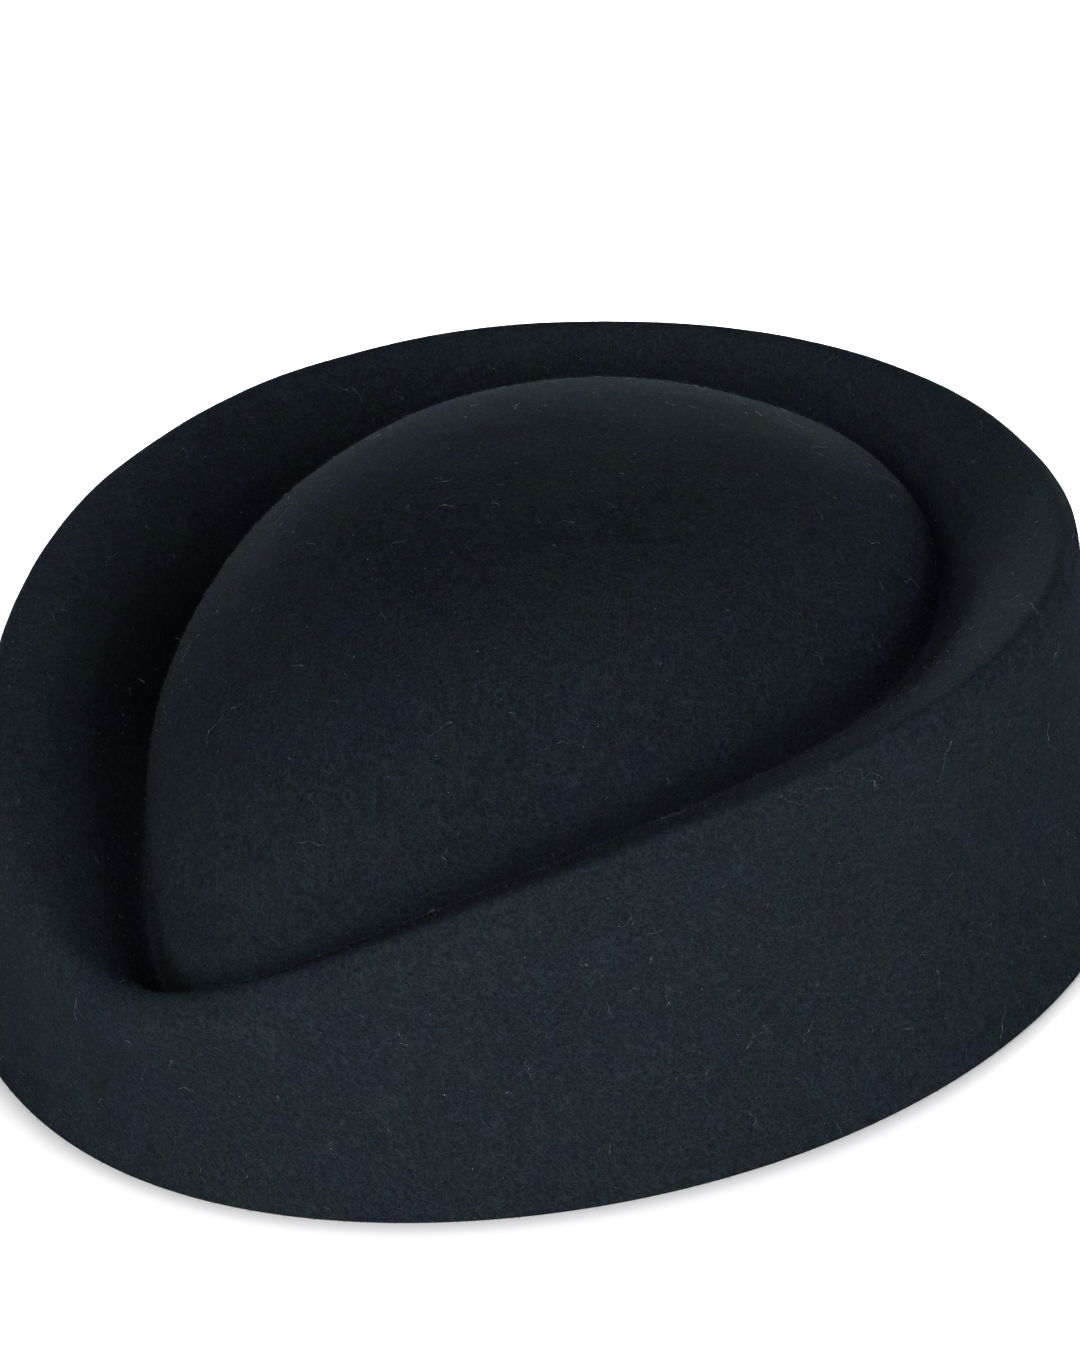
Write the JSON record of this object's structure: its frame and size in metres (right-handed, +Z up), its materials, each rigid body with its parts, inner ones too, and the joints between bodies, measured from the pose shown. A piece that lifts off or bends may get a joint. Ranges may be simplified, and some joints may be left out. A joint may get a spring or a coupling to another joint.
{
  "type": "pillbox hat",
  "caption": "Small felt pillbox hat with an upright wall, a soft rolled rim and a raised teardrop crown set in a sunk groove, hollow and open below.",
  "frame": {"origin": "centre of the bounding box on the plane of the cut edge that the hat stands on", "axes": "+Z up, -Y towards the front where the teardrop points, +X to the wearer's left"},
  "size_m": [0.176, 0.198, 0.0655],
  "materials": {
    "felt": "blue-black wool felt, matt with a soft nap"
  },
  "bodies": {
    "root": {"felt_body": "felt"}
  },
  "joints": []
}
